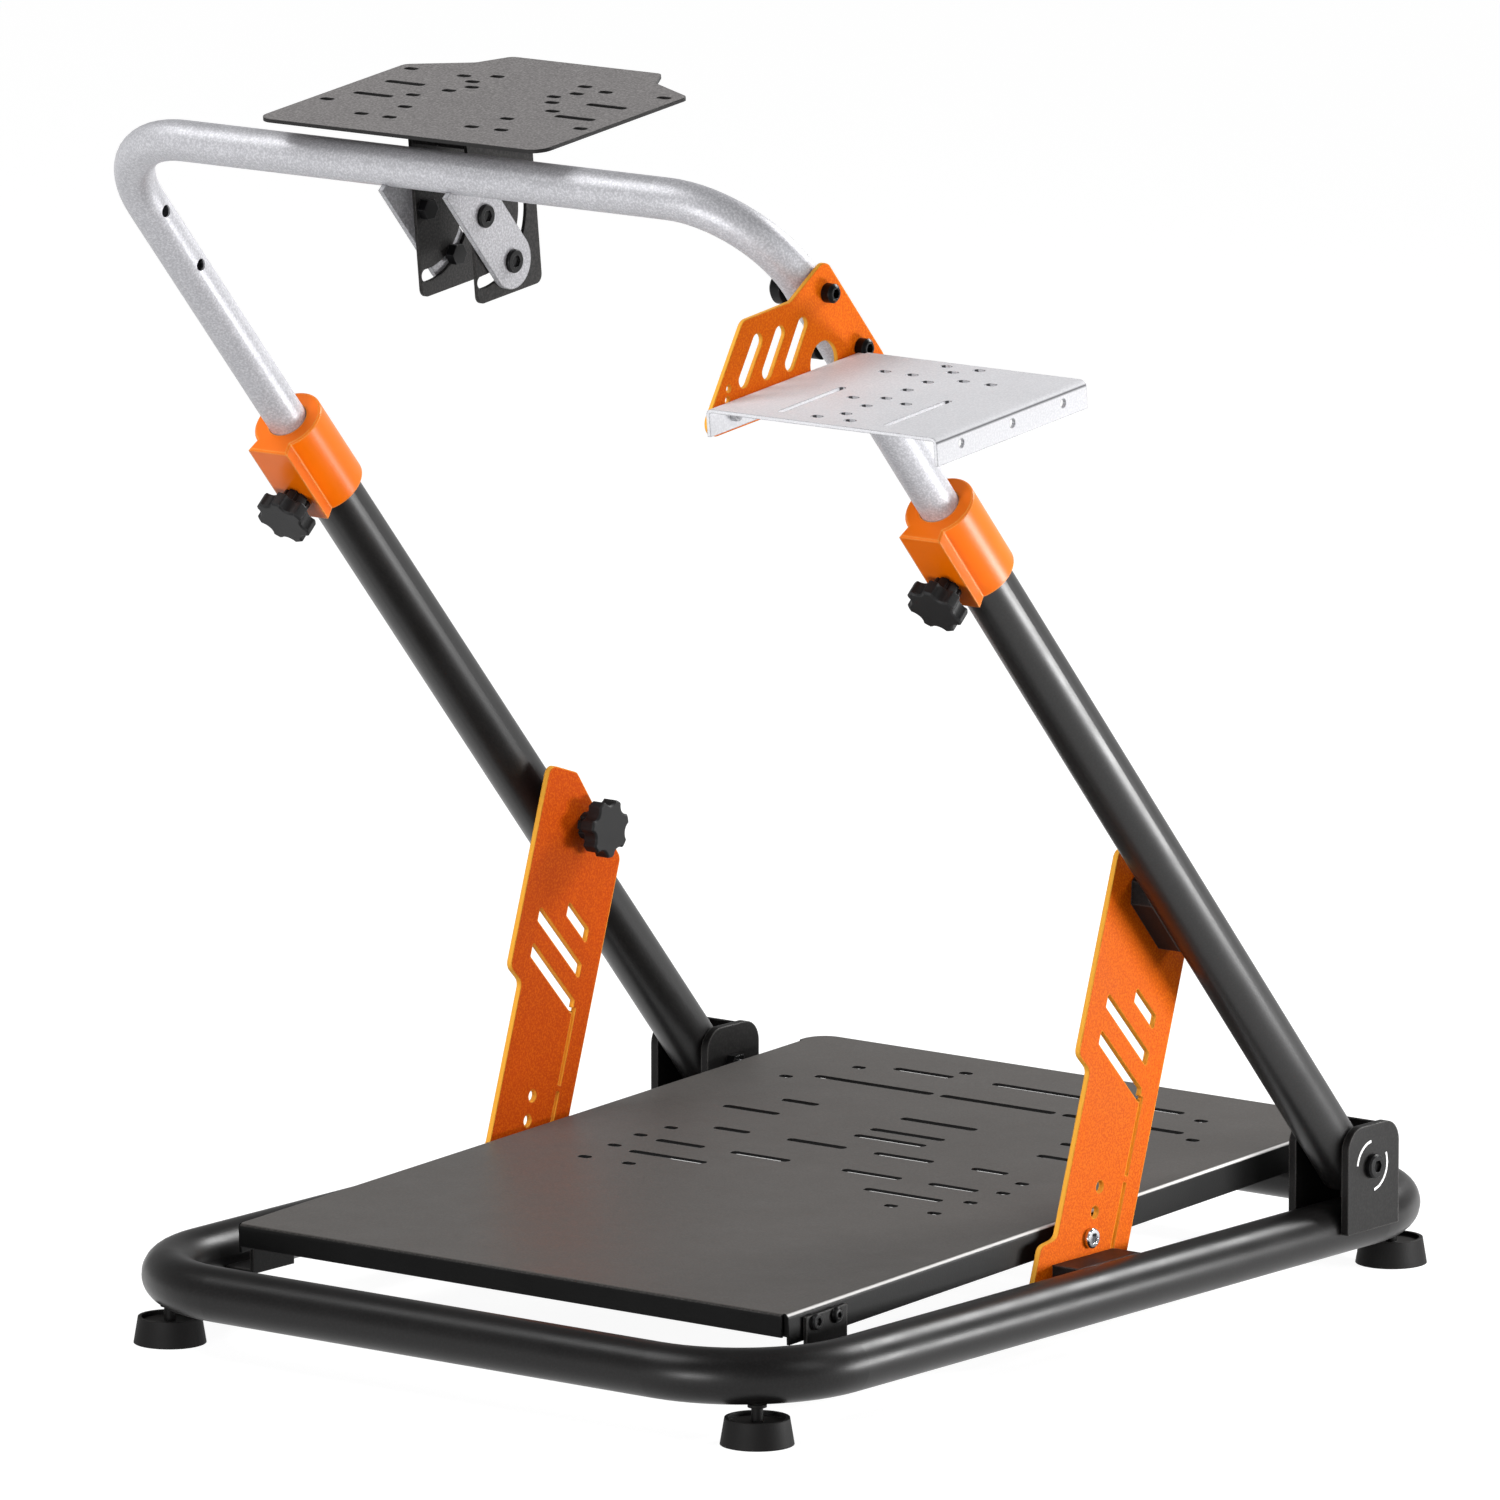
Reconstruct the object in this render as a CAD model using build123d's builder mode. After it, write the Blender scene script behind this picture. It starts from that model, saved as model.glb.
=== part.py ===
"""Folding racing wheel stand: tube base with a pedal plate, leaning uprights, arch, wheel plate and shelf.

Millimetres. +X is the driver's right, +Y the way the driver faces, +Z up.
The origin is on the floor under the middle of the base loop.
"""
import os
from math import atan2, cos, degrees, hypot, radians, sin, sqrt, tan

from build123d import *

os.makedirs("parts", exist_ok=True)

# Clearances
RUNNING = 0.08
SLIDING = 0.3
SEAT = 0.05
MOVING = 5.0
CUT_PAST = 1.0

# Base loop of round tube, and its feet
TUBE_R = 19.0
TUBE_WALL = 1.5
HALF_WIDTH = 280.0
HALF_LENGTH = 386.0
BASE_BEND_R = 90.0
BASE_Z = 46.0
FOOT_R = 25.0
FOOT_TOP_R = 22.0
FOOT_HEIGHT = 18.0
FOOT_RIM = 2.5
FOOT_DISH = 3.0
STUD_R = 4.0
STUD_COLLAR_R = 6.5
STUD_COLLAR = 2.0
STUD_IN_TUBE = 6.0

# Uprights and the brackets that they fold in
LEAN = 41.45
PIVOT_FROM_REAR = 121.4
PIVOT_RISE = 45.0
UPRIGHT_LENGTH = 675.0
UPRIGHT_TAIL = 8.0
BRACKET_PLATE = 6.0
BRACKET_SIDE_GAP = 0.5
BRACKET_FRONT = 27.6
BRACKET_REAR = 31.4
BRACKET_TOP = 29.0
BRACKET_ROUND = 16.0
PIVOT_BOLT_R = 5.0
PIVOT_HEAD_R = 8.5
PIVOT_HEAD = 5.0
PIVOT_NUT_R = 9.0
PIVOT_NUT = 7.0

# Collars on the uprights, with their clamp knobs
COLLAR_LOW = 628.0
COLLAR_LENGTH = 69.0
COLLAR_R = 25.0
COLLAR_EDGE = 1.2
BOSS_HALF_WIDTH = 17.0
BOSS_NECK_HALF = 14.5
BOSS_NECK = 19.0
BOSS_REACH = 29.5
COLLAR_KNOB_S = 648.0

# Star knobs
KNOB_R = 20.5
KNOB_LOBES = 7
KNOB_VALLEY_R = 16.8
KNOB_SCALLOP_R = 7.0
KNOB_LOBE_EDGE = 1.2
KNOB_WALL = 2.5
KNOB_TOP = 3.5
KNOB_HEAD = 11.0
KNOB_HUB = 11.5
KNOB_HUB_R = 10.0
KNOB_FLUTE_R = 1.4
KNOB_STUD_R = 4.0

# Sliding arch of smaller tube
ARCH_R = 14.0
ARCH_WALL = 1.5
ARCH_BEND_R = 74.0
ARCH_TOP_S = 995.2
ARCH_LOW_S = 470.0
LEG_HOLE_R = 4.25
LEG_HOLE_LOW_S = 860.0
LEG_HOLE_PITCH = 55.0

# Struts from the base to the uprights, drawn in a frame that runs up from foot to knob
LUG_REACH = 12.0
STRUT_PLATE = 4.0
STRUT_FROM_PIVOT = 257.1
STRUT_FOOT_RISE = 6.0
STRUT_DROP = 6.0
STRUT_KNOB_S = 268.0
STRUT_FRONT = 53.0
STRUT_REAR = 45.5
STRUT_ABOVE_KNOB = 34.0
STRUT_CORNER_R = 7.0
RECESS_DEPTH = 16.0
RECESS_LOW = 10.0
RECESS_HIGH = 143.0
RECESS_RUN = 8.0
TOP_FLAT_END = 22.0
REAR_CORNER_BELOW = 15.0
STRUT_HOLE_R = 4.25
STRUT_HOLE_LOW = 24.5
STRUT_HOLE_PITCH = 17.7
STRUT_HOLE_COUNT = 3
STRUT_SLOT_LOW = 127.0
STRUT_SLOT_PITCH = 25.5
STRUT_SLOT_RISE = 28.3
STRUT_SLOT_HALF = 5.0
STRUT_SLOT_REAR = 26.0
STRUT_SLOT_FRONTS = (33.0, 33.0, 2.0)
STRUT_SLOT_CORNER_R = 1.5
SLIT_WIDTH = 3.3
SLITS = ((22.0, 67.0), (72.0, 127.0))
LUG_LENGTH = 69.0
LUG_ABOVE = 17.5
LUG_BELOW = 4.0
UPPER_LUG_LENGTH = 70.0
UPPER_LUG_HALF = 15.0
UPPER_LUG_BEVEL = 11.0
PEDAL_BOLT_R = 4.0
PEDAL_BOLT_HEAD_R = 7.0
PEDAL_BOLT_HEAD = 4.0
PEDAL_NUT_R = 7.0
PEDAL_NUT = 5.0

# Pedal plate, folded from sheet, and the brackets that it tilts on
PEDAL_SIDE_GAP = 7.4
PEDAL_FROM_FRONT = 77.2
PEDAL_FROM_REAR = 43.4
PEDAL_RISE = 30.0
PEDAL_TILT = 2.39
PEDAL_SHEET = 2.0
PEDAL_BEND_R = 3.2
PEDAL_FLANGE = 21.4
PEDAL_LIP = 16.0
PEDAL_CORNER_R = 18.0
LIP_RELIEF = 3.6
CORNER_TAB = 12.0
PEDAL_SLOT = 7.0
PEDAL_OVAL = 11.0
PEDAL_PIVOT_BACK = 28.7
PEDAL_PIVOT_DOWN = 9.9
PEDAL_PIVOT_R = 3.0
PEDAL_PIVOT_HEAD_R = 5.5
PEDAL_PIVOT_HEAD = 3.0
PEDAL_PIVOT_NUT_R = 5.5
PEDAL_PIVOT_NUT = 5.0
PEDAL_BRACKET_PLATE = 3.0
PEDAL_BRACKET_FRONT = 9.3
PEDAL_BRACKET_REAR = 34.7
PEDAL_BRACKET_UP = 5.0
PEDAL_BRACKET_DROP = 9.0
# Rows of slots: distance from the plate's rear edge, middle of the slot, length
PEDAL_MIDDLE_SLOTS = ((55.2, 80.0), (102.2, 100.0), (170.2, 66.0), (206.2, 64.0), (226.2, 62.0))
PEDAL_PAIR_SLOTS = (
    (55.2, 101.0, 52.0), (102.2, 109.0, 104.0), (170.2, 122.0, 32.0), (206.2, 137.5, 49.0),
    (260.2, 112.5, 31.0), (260.2, 38.0, 51.0), (310.2, 119.0, 42.0), (310.2, 48.5, 51.0),
    (345.2, 102.5, 67.0),
)
PEDAL_PAIR_OVALS = (
    (66.2, 150.0), (114.2, 178.0), (40.2, 75.0), (277.2, 153.0), (305.2, 158.0), (338.2, 155.0),
    (375.2, 152.0), (374.2, 114.0),
)

# Wheel plate on its tilting bracket, between two arms on the arch
ARM_ANGLE = -48.5
ARM_HALF_WIDTH = 19.0
ARM_PLATE = 4.0
ARM_PAST_AXIS = 4.0
TILT_FROM_BAR = 42.5
TILT_SLOT_R = 45.5
TILT_SLOT_LOW = -94.0
TILT_SLOT_HIGH = 3.0
TILT_SHEET = 2.5
TILT_BEND_R = 4.0
TILT_OUTSIDE = 25.0
TILT_FRONT = 8.0
TILT_LENGTH = 68.5
TILT_BELOW = 60.0
TILT_CORNER_R = 6.0
TILT_LIP = 15.5
TILT_SEAM = 1.0
TILT_BOLT_R = 4.0
TILT_HEAD_R = 7.9
TILT_HEAD = 3.0
TILT_NUT_R = 7.5
TILT_NUT = 6.5
WHEEL_AHEAD = 49.5
WHEEL_ABOVE = 64.7
WHEEL_TILT = 6.33
WHEEL_SHEET = 2.5
WHEEL_HALF_WIDTH = 120.8
WHEEL_DEPTH = 159.0
WHEEL_SHOULDER = 181.0
WHEEL_TAB_DEPTH = 204.0
WHEEL_NECK_HALF = 77.0
WHEEL_TAB_HALF = 64.0
WHEEL_FRONT_R = 12.0
WHEEL_CORNER_R = 7.0
WHEEL_LONG_SLOT = 33.0
WHEEL_SHORT_SLOT = 11.0
WHEEL_SLOT = 6.0
# Slots: distance from the middle, distance from the front edge
WHEEL_LONG_SLOTS = ((86.0, 116.0), (86.0, 82.0))
WHEEL_SHORT_SLOTS = (
    (108.0, 150.0), (108.0, 60.0), (59.5, 91.5), (43.5, 63.0), (59.5, 36.5), (35.0, 36.0), (60.5, 147.5),
    (37.5, 154.5), (44.5, 136.5), (35.0, 124.0), (44.0, 110.5),
)

# Shifter bracket on the right leg: its points are up the leg from the lower hole, and out in front of it
SHIFTER_PLATE = 3.0
SHIFTER_CORNER_R = 9.0
SHIFTER_REAR = 14.0
SHIFTER_TOP = 73.0
SHIFTER_LOW = 37.3
SHIFTER_NOTCH = (79.5, 29.4)
SHIFTER_PEAK = (108.7, 71.8)
SHIFTER_NOSE = 8.0
SHIFTER_DROP = 2.0
SHIFTER_SLOT = 10.5
SHIFTER_SLOTS = (
    ((87.0, 70.6), (78.8, 97.2)), ((72.7, 51.4), (64.0, 77.1)), ((58.6, 31.5), (49.7, 57.1)),
)
SHIFTER_HOLE_R = 14.5
SHIFTER_HOLE = (22.4, 32.6)
SHIFTER_PIN_HOLE_R = 2.5
SHIFTER_PIN_HOLES = ((86.6, 111.7), (81.9, 117.5))
SHIFTER_BOLT_R = 4.0
SHIFTER_HEAD_R = 6.5
SHIFTER_HEAD = 8.0
SHIFTER_NUT_R = 11.2
SHIFTER_NUT = 10.0

# Shifter shelf, set out from the lower leg hole
SHELF_AHEAD = 166.4
SHELF_BELOW = 1.3
SHELF_WIDTH = 188.6
SHELF_DEPTH = 162.0
SHELF_TILT = 6.07
SHELF_SHEET = 2.5
SHELF_BEND_R = 4.5
SHELF_FLANGE = 19.0
SHELF_LONG_X = 43.4
SHELF_LONG_MID = 47.5
SHELF_LONG_SLOT = 69.0
SHELF_SLOT = 5.5
SHELF_SHORT_SLOT = 9.0
SHELF_MIDDLE_SLOTS = (142.0, 115.0, 93.0, 70.0, 49.0, 27.0)
SHELF_PAIR_SLOTS = ((13.5, 153.0), (43.5, 126.0), (21.0, 126.0), (21.5, 63.0), (13.5, 14.0))
SHELF_SIDE_HOLE_R = 3.0
SHELF_SIDE_HOLES = (26.0, 81.0, 136.0)

# Bolts: sides of a nut or socket, and the shares of a head that its chamfer and socket take
HEX_SIDES = 6
CHAMFER_SHARE = 0.25
SOCKET_SHARE = 0.55
HALF_TURN = 180.0

# Worked out from the sizes above
PIVOT_Y = HALF_LENGTH - PIVOT_FROM_REAR
PIVOT_Z = BASE_Z + PIVOT_RISE
UPRIGHT_DIR = Vector(0, -sin(radians(LEAN)), cos(radians(LEAN)))
BOSS_DIR = Vector(0, -cos(radians(LEAN)), -sin(radians(LEAN)))
COLLAR_TOP = COLLAR_LOW + COLLAR_LENGTH
STRUT_OUTSIDE = HALF_WIDTH - TUBE_R - LUG_REACH
STRUT_INSIDE = STRUT_OUTSIDE - STRUT_PLATE
PEDAL_HALF_WIDTH = STRUT_INSIDE - PEDAL_SIDE_GAP
SIDES = (("left", -1), ("right", 1))


def on_upright(side, s, out=0.0):
    """Point at distance s from the pivot along an upright's axis, and out towards the collar's boss."""
    return Vector(side * HALF_WIDTH, PIVOT_Y, PIVOT_Z) + UPRIGHT_DIR * s + BOSS_DIR * out


def across_upright(side, s):
    """Plane square to an upright: local x is X, local y points away from the boss."""
    return Plane(origin=on_upright(side, s), x_dir=(1, 0, 0), z_dir=UPRIGHT_DIR)


def towards_boss(side, s, out=0.0):
    """Plane on an upright's axis or in front of it that faces the way of the collar's boss."""
    return Plane(origin=on_upright(side, s, out), x_dir=(1, 0, 0), z_dir=BOSS_DIR)


def side_plane(side, inside, thick):
    """YZ plane at the lower X of a plate whose inner face is at that distance from the middle."""
    return Plane.YZ.offset(min(side * inside, side * (inside + thick)))


def outward(side, x):
    """YZ plane at distance x from the middle, facing away from it: local x is Y on the right side."""
    return Plane(origin=(side * x, 0, 0), x_dir=(0, side, 0), z_dir=(side, 0, 0))


def sheet_top(x, y, z, tilt):
    """Plane of a sheet's top, with its origin on the front edge: local y runs back along the sheet."""
    return Plane(origin=(x, y, z), x_dir=(1, 0, 0), z_dir=(0, -sin(radians(tilt)), cos(radians(tilt))))


def sheet_front(top):
    """Plane across a sheet at its front edge, facing the driver: local y points up from the sheet."""
    return Plane(origin=top.origin, x_dir=top.x_dir, z_dir=-top.y_dir)


def sheet_side(top, x):
    """Plane along a sheet at that X: local x runs back along the sheet, and local y up from it."""
    return Plane(origin=(x, top.origin.Y, top.origin.Z), x_dir=top.y_dir, z_dir=(1, 0, 0))


def save(piece, name):
    piece.part.label = name
    export_step(piece.part, f"parts/{name}.step")


def channel(front, half_width, drop, sheet, bend_r, length):
    """Sheet folded down at both sides, whose section is in the plane and which runs back from it."""
    edge = half_width - sheet / 2
    with BuildPart() as made:
        with BuildSketch(front):
            with BuildLine():
                FilletPolyline(
                    (-edge, -drop), (-edge, -sheet / 2), (edge, -sheet / 2), (edge, -drop),
                    radius=bend_r - sheet / 2,
                )
            trace(line_width=sheet)
        extrude(amount=-length)
    return made


def bolt(side, y, z, seat, r, head_r, head, nut_at, nut_r, nut, round_nut=False):
    """Socket bolt along X: head on an outer face, shank in to a nut whose outer end is at nut_at."""
    with BuildPart() as made:
        with BuildSketch(outward(side, seat)):
            with Locations((side * y, z)):
                Circle(head_r)
        extrude(amount=head)
        chamfer(made.faces().sort_by(Axis.X)[-1 if side > 0 else 0].edges(), head * CHAMFER_SHARE)
        with BuildSketch(outward(side, seat + head)):
            with Locations((side * y, z)):
                RegularPolygon(head_r * SOCKET_SHARE, HEX_SIDES)
        extrude(amount=-head * SOCKET_SHARE, mode=Mode.SUBTRACT)
        with BuildSketch(outward(side, nut_at - nut)):
            with Locations((side * y, z)):
                Circle(r)
        extrude(amount=seat - nut_at + nut)
        with BuildSketch(outward(side, nut_at - nut)):
            with Locations((side * y, z)):
                if round_nut:
                    Circle(nut_r)
                else:
                    RegularPolygon(nut_r, HEX_SIDES)
        extrude(amount=nut)
        if round_nut:
            chamfer(made.faces().sort_by(Axis.X)[0 if side > 0 else -1].edges(), nut * CHAMFER_SHARE)
    return made


def star_knob(seat, stud):
    """Scalloped clamp knob, hollow underneath, on a fluted hub that sits on the plane, with its stud."""
    scallop_at = KNOB_VALLEY_R + KNOB_SCALLOP_R
    with BuildPart() as made:
        with BuildSketch(seat.offset(KNOB_HUB)) as star:
            Circle(KNOB_R)
            with PolarLocations(scallop_at, KNOB_LOBES):
                Circle(KNOB_SCALLOP_R, mode=Mode.SUBTRACT)
            fillet(star.vertices(), KNOB_LOBE_EDGE)
        extrude(amount=KNOB_HEAD)
        chamfer(made.edges().group_by(Axis(seat.origin, seat.z_dir))[-1], KNOB_LOBE_EDGE)
        with BuildSketch(seat.offset(KNOB_HUB)):
            Circle(KNOB_R - KNOB_WALL)
            with PolarLocations(scallop_at, KNOB_LOBES):
                Circle(KNOB_SCALLOP_R + KNOB_WALL, mode=Mode.SUBTRACT)
        extrude(amount=KNOB_HEAD - KNOB_TOP, mode=Mode.SUBTRACT)
        with BuildSketch(seat):
            Circle(KNOB_HUB_R)
            with PolarLocations(KNOB_HUB_R, KNOB_LOBES):
                Circle(KNOB_FLUTE_R, mode=Mode.SUBTRACT)
        extrude(amount=KNOB_HUB + KNOB_HEAD - KNOB_TOP)
        with BuildSketch(seat):
            Circle(KNOB_STUD_R)
        extrude(amount=-stud)
    return made


# Base loop: the ring section runs round a rounded rectangle, with the stud holes under its corners
BEND_MID = BASE_BEND_R * (1 - sqrt(1 / 2))
FOOT_X = HALF_WIDTH - BEND_MID
FOOT_Y = HALF_LENGTH - BEND_MID
TUBE_BOTTOM = BASE_Z - TUBE_R
with BuildPart() as base_frame:
    with BuildLine(Plane.XY.offset(BASE_Z)) as base_path:
        FilletPolyline(
            (-HALF_WIDTH, -HALF_LENGTH), (HALF_WIDTH, -HALF_LENGTH), (HALF_WIDTH, HALF_LENGTH),
            (-HALF_WIDTH, HALF_LENGTH), radius=BASE_BEND_R, close=True,
        )
    base_wire = base_path.wires()[0]
    with BuildSketch(Plane(origin=base_wire @ 0, z_dir=base_wire % 0)):
        Circle(TUBE_R)
        Circle(TUBE_R - TUBE_WALL, mode=Mode.SUBTRACT)
    sweep(path=base_wire)
    with BuildSketch(Plane.XY):
        with GridLocations(2 * FOOT_X, 2 * FOOT_Y, 2, 2):
            Circle(STUD_R + SEAT)
    extrude(amount=TUBE_BOTTOM + STUD_IN_TUBE, mode=Mode.SUBTRACT)
save(base_frame, "base_frame")

# Levelling feet: tapered rubber pad, dished on top, on a stud that screws up into the tube
for end, along in (("front", -1), ("rear", 1)):
    for side_name, side in SIDES:
        with BuildPart() as foot:
            with BuildSketch(Plane.XZ):
                with BuildLine():
                    Polyline(
                        (0, 0), (FOOT_R, 0), (FOOT_TOP_R, FOOT_HEIGHT), (FOOT_TOP_R - FOOT_RIM, FOOT_HEIGHT),
                        (FOOT_TOP_R - FOOT_RIM, FOOT_HEIGHT - FOOT_DISH), (STUD_R, FOOT_HEIGHT - FOOT_DISH),
                        (STUD_R, TUBE_BOTTOM - STUD_COLLAR), (STUD_COLLAR_R, TUBE_BOTTOM - STUD_COLLAR),
                        (STUD_COLLAR_R, TUBE_BOTTOM - SEAT), (STUD_R, TUBE_BOTTOM - SEAT),
                        (STUD_R, TUBE_BOTTOM + STUD_IN_TUBE), (0, TUBE_BOTTOM + STUD_IN_TUBE), close=True,
                    )
                make_face()
            revolve(axis=Axis.Z)
        foot.part.position = (side * FOOT_X, along * FOOT_Y, 0)
        save(foot, f"{end}_{side_name}_foot")

# Pivot brackets: channels that straddle the base tube, closed at the rear
EAR_IN = TUBE_R + BRACKET_SIDE_GAP
EAR_OUT = EAR_IN + BRACKET_PLATE
BRACKET_DEPTH = BRACKET_FRONT + BRACKET_REAR
for side_name, side in SIDES:
    with BuildPart() as pivot_bracket:
        with BuildSketch(Plane.YZ.offset(side * HALF_WIDTH - EAR_OUT)) as ear_outline:
            with Locations((PIVOT_Y - BRACKET_FRONT, BASE_Z)):
                Rectangle(BRACKET_DEPTH, PIVOT_RISE + BRACKET_TOP, align=(Align.MIN, Align.MIN))
            fillet(ear_outline.vertices().group_by(Axis.Y)[-1], BRACKET_ROUND)
            with Locations((PIVOT_Y, PIVOT_Z)):
                Circle(PIVOT_BOLT_R + SEAT, mode=Mode.SUBTRACT)
        extrude(amount=2 * EAR_OUT)
        with BuildSketch(Plane.YZ.offset(side * HALF_WIDTH - EAR_IN)):
            with Locations((PIVOT_Y + BRACKET_REAR - BRACKET_PLATE, BASE_Z)):
                Rectangle(BRACKET_DEPTH, PIVOT_RISE + BRACKET_TOP + CUT_PAST, align=(Align.MAX, Align.MIN))
        extrude(amount=2 * EAR_IN, mode=Mode.SUBTRACT)
        with BuildSketch(Plane.XZ.offset(-PIVOT_Y + BRACKET_FRONT)):
            with Locations((side * HALF_WIDTH, BASE_Z)):
                Circle(TUBE_R + SEAT)
        extrude(amount=-BRACKET_DEPTH, mode=Mode.SUBTRACT)
    save(pivot_bracket, f"{side_name}_pivot_bracket")
    pivot_bolt = bolt(
        side, PIVOT_Y, PIVOT_Z, HALF_WIDTH + EAR_OUT, PIVOT_BOLT_R, PIVOT_HEAD_R, PIVOT_HEAD,
        HALF_WIDTH - EAR_OUT, PIVOT_NUT_R, PIVOT_NUT,
    )
    save(pivot_bolt, f"{side_name}_pivot_bolt")

# Uprights: tubes that turn on the pivot bolts
for side_name, side in SIDES:
    with BuildPart() as upright:
        with BuildSketch(across_upright(side, -UPRIGHT_TAIL)):
            Circle(TUBE_R)
            Circle(TUBE_R - TUBE_WALL, mode=Mode.SUBTRACT)
        extrude(amount=UPRIGHT_LENGTH + UPRIGHT_TAIL)
        with BuildSketch(Plane.YZ.offset(side * HALF_WIDTH)):
            with Locations((PIVOT_Y, PIVOT_Z)):
                Circle(PIVOT_BOLT_R + RUNNING)
        extrude(amount=TUBE_R, both=True, mode=Mode.SUBTRACT)
        with BuildSketch(towards_boss(side, COLLAR_KNOB_S)):
            Circle(KNOB_STUD_R + SLIDING)
        extrude(amount=TUBE_R, mode=Mode.SUBTRACT)
    save(upright, f"{side_name}_upright")

# Collars: round clamps with a flared boss for the knob, bored for both tubes
for side_name, side in SIDES:
    with BuildPart() as collar:
        with BuildSketch(across_upright(side, COLLAR_LOW)):
            Circle(COLLAR_R)
            with BuildLine():
                Polyline(
                    (-BOSS_NECK_HALF, 0), (-BOSS_NECK_HALF, -BOSS_NECK), (-BOSS_HALF_WIDTH, -BOSS_REACH),
                    (BOSS_HALF_WIDTH, -BOSS_REACH), (BOSS_NECK_HALF, -BOSS_NECK), (BOSS_NECK_HALF, 0),
                    close=True,
                )
            make_face()
        extrude(amount=COLLAR_LENGTH)
        chamfer(collar.edges().group_by(Axis(on_upright(side, 0), UPRIGHT_DIR))[-1], COLLAR_EDGE)
        chamfer(collar.edges().group_by(Axis(on_upright(side, 0), UPRIGHT_DIR))[0], COLLAR_EDGE)
        with BuildSketch(across_upright(side, COLLAR_LOW)):
            Circle(TUBE_R + SEAT)
        extrude(amount=UPRIGHT_LENGTH - COLLAR_LOW, mode=Mode.SUBTRACT)
        with BuildSketch(across_upright(side, UPRIGHT_LENGTH)):
            Circle(ARCH_R + SLIDING)
        extrude(amount=COLLAR_TOP - UPRIGHT_LENGTH, mode=Mode.SUBTRACT)
        with BuildSketch(towards_boss(side, COLLAR_KNOB_S)):
            Circle(KNOB_STUD_R + SEAT)
        extrude(amount=BOSS_REACH, mode=Mode.SUBTRACT)
    save(collar, f"{side_name}_collar")
    collar_knob = star_knob(towards_boss(side, COLLAR_KNOB_S, BOSS_REACH), BOSS_REACH - ARCH_R - SLIDING)
    save(collar_knob, f"{side_name}_collar_knob")

# Struts: cut plates from the base to the uprights
KNOB_POINT = on_upright(1, STRUT_KNOB_S)
STRUT_FOOT_Y = PIVOT_Y - STRUT_FROM_PIVOT
STRUT_FOOT_Z = BASE_Z + STRUT_FOOT_RISE
STRUT_RISE = degrees(atan2(KNOB_POINT.Z - STRUT_FOOT_Z, KNOB_POINT.Y - STRUT_FOOT_Y))
STRUT_SPAN = hypot(KNOB_POINT.Y - STRUT_FOOT_Y, KNOB_POINT.Z - STRUT_FOOT_Z)
RISE_SIN = sin(radians(STRUT_RISE))
RISE_COS = cos(radians(STRUT_RISE))


def on_strut(up, front):
    """(Y, Z) of a point that far up the strut's line and in front of it."""
    return (
        STRUT_FOOT_Y + up * RISE_COS - front * RISE_SIN,
        STRUT_FOOT_Z + up * RISE_SIN + front * RISE_COS,
    )


def strut_floor(front):
    """Where the strut's level bottom edge meets a line that far in front of its middle."""
    return -(STRUT_FOOT_RISE + STRUT_DROP + front * RISE_COS) / RISE_SIN


def strut_slot(low, front):
    """Corners of a rising slot whose ends run along the strut."""
    rise = (front + STRUT_SLOT_REAR) * tan(radians(STRUT_SLOT_RISE))
    return [
        (low - STRUT_SLOT_HALF, -STRUT_SLOT_REAR),
        (low + STRUT_SLOT_HALF, -STRUT_SLOT_REAR),
        (low + rise + STRUT_SLOT_HALF, front),
        (low + rise - STRUT_SLOT_HALF, front),
    ]


STRUT_TOP = STRUT_SPAN + STRUT_ABOVE_KNOB
STRUT_OUTLINE = [
    (strut_floor(STRUT_FRONT), STRUT_FRONT),
    (RECESS_LOW, STRUT_FRONT),
    (RECESS_LOW + RECESS_RUN, STRUT_FRONT - RECESS_DEPTH),
    (RECESS_HIGH - RECESS_RUN, STRUT_FRONT - RECESS_DEPTH),
    (RECESS_HIGH, STRUT_FRONT),
    (STRUT_TOP, STRUT_FRONT),
    (STRUT_TOP, TOP_FLAT_END),
    (STRUT_SPAN - REAR_CORNER_BELOW, -STRUT_REAR),
    (strut_floor(-STRUT_REAR), -STRUT_REAR),
]
STRUT_HOLES = [on_strut(STRUT_HOLE_LOW + i * STRUT_HOLE_PITCH, 0) for i in range(STRUT_HOLE_COUNT)]
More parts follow.
